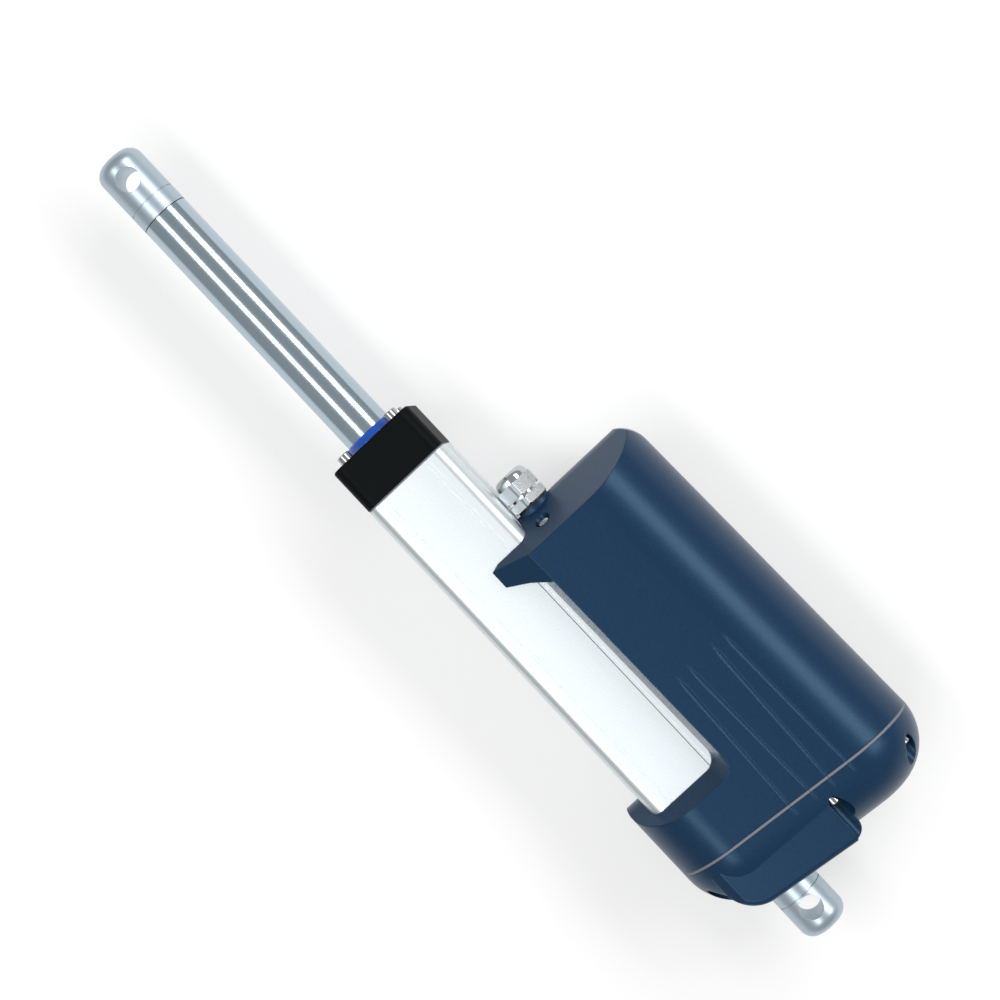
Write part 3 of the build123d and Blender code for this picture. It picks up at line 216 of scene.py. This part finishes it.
AROUND = (1.0, 0.02, 0.02)
EVEN = (1.0, 1.0, 1.0)
# Black rubber for the rubber parts, also used for the dark ring at the rod's joint, where its black
# is painted shade
BLACK_RUBBER_AND_JOINT_SHADE = smooth_sheet("moulded_black_rubber_and_joint_shade", RUBBER_BLACK, 0.5)
PLATED_STEEL = worked_metal("plated_screw_steel", PLAIN_STEEL, 0.18, 0.3, EVEN, 0.002)
FINISH_OF_SLOT = {
    "housing_paint": powder_coat(),
    "anodised_aluminium": anodised_extrusion(),
    "black_plastic": moulded_plastic("moulded_cap_plastic", CAP_BLACK, 0.5, 0.06),
    "blue_rubber": smooth_sheet("moulded_blue_polyurethane", WIPER_BLUE, 0.28),
    "gasket_rubber": smooth_sheet("sheet_gasket_rubber", GASKET_GREY, 0.6),
    "black_rubber": BLACK_RUBBER_AND_JOINT_SHADE,
    "polished_rod": worked_metal("hard_chromed_rod", CHROME, 0.16, 0.3, AROUND, 0.00002, 0.0),
    "turned_steel": worked_metal("turned_steel_eye", TURNED_STEEL, 0.40, 0.12, AROUND, 0.001),
    "bright_steel": PLATED_STEEL,
    "bright_nickel": worked_metal("bright_nickel_plate", NICKEL, 0.12, 0.6, EVEN, 0.002),
    "plain_steel": worked_metal("machined_steel", PLAIN_STEEL, 0.32, 0.2, AROUND, 0.004),
    "cast_aluminium": worked_metal("cast_aluminium", PLAIN_STEEL, 0.5, 0.6, EVEN, 0.02),
    "bronze": worked_metal("turned_bronze", BRONZE, 0.35, 0.2, AROUND, 0.004),
    "copper": worked_metal("copper_wire_and_segments", COPPER, 0.35, 0.4, AROUND, 0.01),
    "ferrite": moulded_plastic("sintered_ferrite", FERRITE, 0.6),
    "carbon": moulded_plastic("pressed_carbon", CARBON, 0.7),
    "white_plastic": moulded_plastic("machined_acetal", ACETAL, 0.4),
    "board_laminate": smooth_sheet("board_laminate", BOARD_GREEN, 0.3),
}
SLOT_OF_NODE = {part["node"]: part["material_slot"] for part in frame["record"]["subparts"]}
for name, node in frame["nodes"].items():
    node.data.materials.clear()
    node.data.materials.append(FINISH_OF_SLOT[SLOT_OF_NODE[name]])


# Small turned pieces that the CAD leaves out, and a dark ring of painted shade

def turned_ring(name, profile, middle, finish, body):
    """A closed ring turned about a line along X through middle, from (x, radius) corners in mm."""
    steps = 96
    verts, faces = [], []
    for x, radius in profile:
        for k in range(steps):
            turn = 2 * pi * k / steps
            y, z = middle[0] + radius * cos(turn), middle[1] + radius * sin(turn)
            verts.append((x * MM, y * MM, z * MM))
    for ring in range(len(profile)):
        here, there = ring * steps, (ring + 1) % len(profile) * steps
        for k in range(steps):
            near = (k + 1) % steps
            faces.append((here + k, there + k, there + near, here + near))
    mesh = bpy.data.meshes.new(name)
    mesh.from_pydata(verts, [], faces)
    mesh.materials.append(finish)
    ring_piece = bpy.data.objects.new(name, mesh)
    bpy.context.scene.collection.objects.link(ring_piece)
    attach(ring_piece, body)


# A thin black ring standing slightly proud at the joint between the rod and its eye: painted shade
# for the shadowed gap of the joint, not a real seal
ROD_MIDDLE = (0.0, 0.0)
JOINT_SHADE_RING = [(452.25, 12.23), (452.25, 12.53), (452.75, 12.53), (452.75, 12.23)]
turned_ring("rod_joint_painted_shade", JOINT_SHADE_RING, ROD_MIDDLE, BLACK_RUBBER_AND_JOINT_SHADE, "rod")

# The domed rim of the blanking screw, which fills its recess up to the mouth
SCREW_MIDDLE = (-33.7, 22.0)
SCREW_RIM = [(218.0, 3.5), (219.2, 3.5), (219.7, 3.42), (220.2, 3.24), (220.7, 2.94), (221.1, 2.6)]
SCREW_RIM += [(221.4, 2.2), (221.5, 1.9), (221.3, 1.75), (218.0, 1.75)]
turned_ring("blanking_screw_rim", SCREW_RIM, SCREW_MIDDLE, PLATED_STEEL, "housing")


# Floor, light and camera

def shown_rays(tree):
    """1 where the camera sees a surface, straight, in a reflection or through glass."""
    path = add(tree, "ShaderNodeLightPath")
    seen = path.outputs["Is Camera Ray"]
    for kind in ("Is Glossy Ray", "Is Transmission Ray"):
        rays = {0: seen, 1: path.outputs[kind]}
        seen = add(tree, "ShaderNodeMath", {"operation": "MAXIMUM"}, rays).outputs[0]
    return seen


def floor():
    """A white floor just under the housing. It shows half its own white and half the light on
    it, so that it keeps the object's shadow and shows it light."""
    low = REST_BOUNDS[0][2] - FLOOR_DROP_MM * MM
    far = FLOOR_REACH
    corners = [(-far, -far, low), (far, -far, low), (far, far, low), (-far, far, low)]
    mesh = bpy.data.meshes.new("floor")
    mesh.from_pydata(corners, [], [(0, 1, 2, 3)])
    made, tree, shader = material("pale_floor", FLOOR_WHITE, 0.0, 0.9)
    white = add(tree, "ShaderNodeEmission", {"Color": linear(WHITE), "Strength": 1.0})
    share = {"operation": "MULTIPLY", 1: FLOOR_OWN_WHITE}
    own = add(tree, "ShaderNodeMath", share, {0: shown_rays(tree)})
    parts = {0: own.outputs[0], 1: shader.outputs[0], 2: white.outputs[0]}
    both = add(tree, "ShaderNodeMixShader", None, parts)
    tree.links.new(both.outputs[0], tree.nodes["Material Output"].inputs["Surface"])
    mesh.materials.append(made)
    ground = bpy.data.objects.new("floor", mesh)
    bpy.context.scene.collection.objects.link(ground)


def surroundings(strength):
    """An even white room all round."""
    world = bpy.data.worlds.new("studio")
    world.use_nodes = True
    background = world.node_tree.nodes["Background"]
    background.inputs["Color"].default_value = linear(WHITE)
    background.inputs["Strength"].default_value = strength
    bpy.context.scene.world = world


def softbox(name, place, width, watts):
    """A strip light along X that looks down at the middle of the part."""
    data = bpy.data.lights.new(name, "AREA")
    data.shape = "RECTANGLE"
    data.size = STRIP_LENGTH
    data.size_y = width
    data.energy = watts
    lamp = bpy.data.objects.new(name, data)
    lamp.location = place
    lamp.rotation_euler = (-atan2(place[1] - LIT_Y, place[2]), 0.0, 0.0)
    bpy.context.scene.collection.objects.link(lamp)


def camera():
    """The photograph's camera: place, aim, roll and lens."""
    data = bpy.data.cameras.new("photo_camera")
    data.lens = CAMERA_LENS_MM
    data.sensor_width = CAMERA_SENSOR_MM
    eye = bpy.data.objects.new("photo_camera", data)
    bpy.context.scene.collection.objects.link(eye)
    forward = (CAMERA_TARGET - CAMERA_PLACE).normalized()
    right = forward.cross(CAMERA_UP).normalized()
    up = right.cross(forward)
    turn = Matrix((right, up, -forward)).transposed().to_4x4()
    eye.matrix_world = Matrix.Translation(CAMERA_PLACE) @ turn
    bpy.context.scene.camera = eye


floor()
surroundings(ROOM_STRENGTH)
softbox("strip_motor_side", **MOTOR_SIDE_STRIP)
softbox("strip_rod_side", **ROD_SIDE_STRIP)
camera()
bpy.context.scene.view_settings.view_transform = "Standard"
